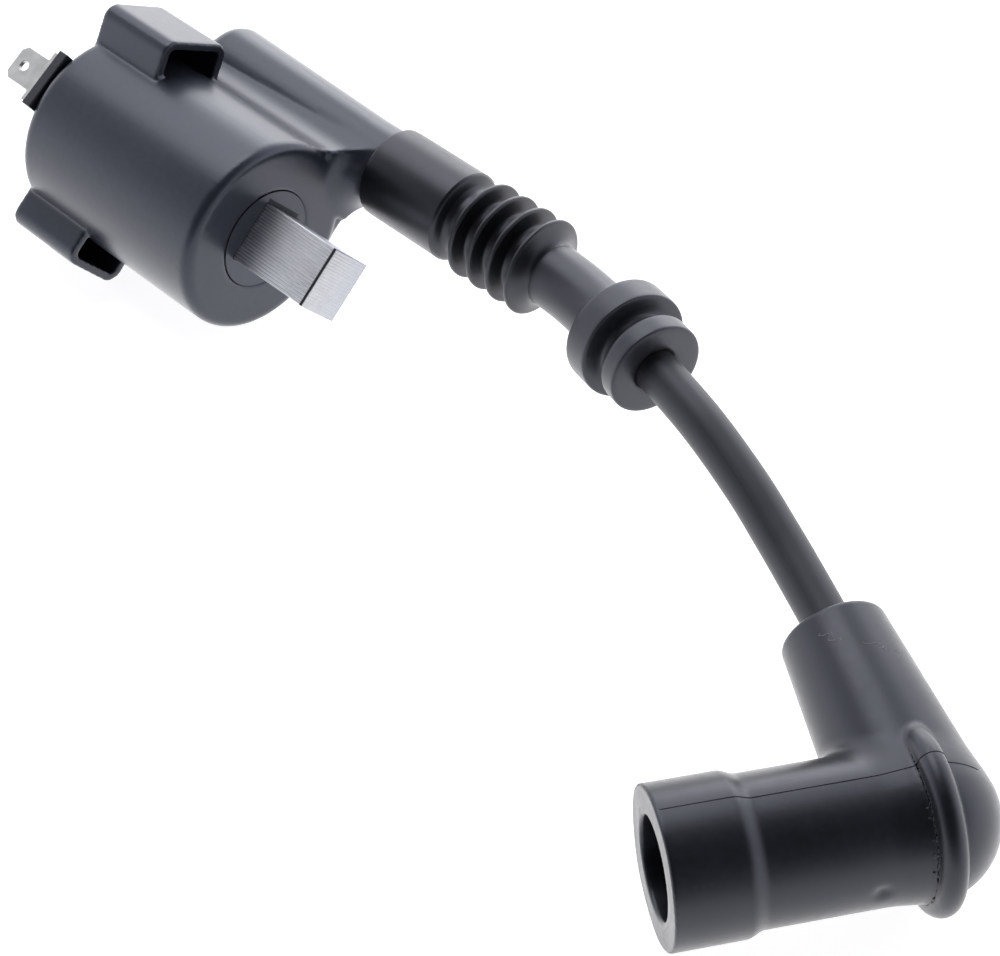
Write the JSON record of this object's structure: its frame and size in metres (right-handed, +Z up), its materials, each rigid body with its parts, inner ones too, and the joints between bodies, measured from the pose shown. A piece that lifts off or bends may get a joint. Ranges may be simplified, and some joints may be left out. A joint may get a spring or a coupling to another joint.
{
  "type": "ignition coil",
  "caption": "Potted cylindrical ignition coil with a laminated core, side tower, blade terminal, high-tension lead and right-angle plug boot.",
  "frame": {"origin": "centre of the coil's box, on the surface it lies on, leaving out the lead, its sleeve and the plug boot", "axes": "+X along the coil axis toward the core's free end, +Y toward the high-tension tower, +Z up"},
  "size_m": [0.21, 0.0834, 0.0398],
  "materials": {
    "case_plastic": "satin moulded plastic, dark blue-grey",
    "resin": "poured black resin, slightly glossy",
    "core_steel": "bare electrical steel, edges of the sheets showing",
    "bobbin_plastic": "moulded plastic",
    "copper_wire": "enamelled copper wire",
    "insulation_film": "wound insulation film",
    "bobbin_white": "moulded plastic, natural colour",
    "fine_copper_wire": "fine enamelled copper wire",
    "block_plastic": "moulded black plastic",
    "tinned_brass": "tin plated, slightly dull",
    "lead_out_wire": "bare copper wire",
    "brass_strip": "turned brass",
    "cap_rubber": "black moulded rubber",
    "lead_jacket": "black extruded jacket",
    "lead_conductor": "stranded copper",
    "sleeve_rubber": "dark grey moulded rubber",
    "boot_rubber": "dark grey moulded rubber",
    "clip_steel": "spring steel wire"
  },
  "bodies": {
    "coil": {"coil_case": "case_plastic", "potting_resin": "resin", "core_laminations": "core_steel", "primary_bobbin": "bobbin_plastic", "primary_winding": "copper_wire", "winding_insulation": "insulation_film", "secondary_bobbin": "bobbin_white", "secondary_winding": "fine_copper_wire", "terminal_block": "block_plastic", "blade_terminal": "tinned_brass", "blade_wire": "lead_out_wire", "ground_wire": "lead_out_wire", "ground_strip": "brass_strip", "secondary_wire": "lead_out_wire", "tower_stud": "brass_strip", "bellows_cap": "cap_rubber"},
    "lead": {"ht_lead_jacket": "lead_jacket", "ht_lead_conductor": "lead_conductor", "sleeve_grommet": "sleeve_rubber"},
    "boot": {"plug_boot": "boot_rubber", "plug_terminal": "brass_strip", "terminal_clip": "clip_steel", "lead_screw": "brass_strip"}
  },
  "joints": [
    {"name": "lead_swing", "type": "hinge", "parent": "coil", "child": "lead", "pos_m": [0.0364, 0.0181, 0.0203], "axis": [0, 0, 1], "range_deg": [-12, 12], "stiffness_Nm_per_rad": 0.3, "deforming": ["bellows_cap", "ht_lead_jacket", "ht_lead_conductor"]},
    {"name": "boot_turn", "type": "hinge", "parent": "lead", "child": "boot", "pos_m": [0.12265, -0.00552, 0.0156], "axis": [-0.8735, 0.4802, 0.0802], "range_deg": [-90, 90]}
  ]
}
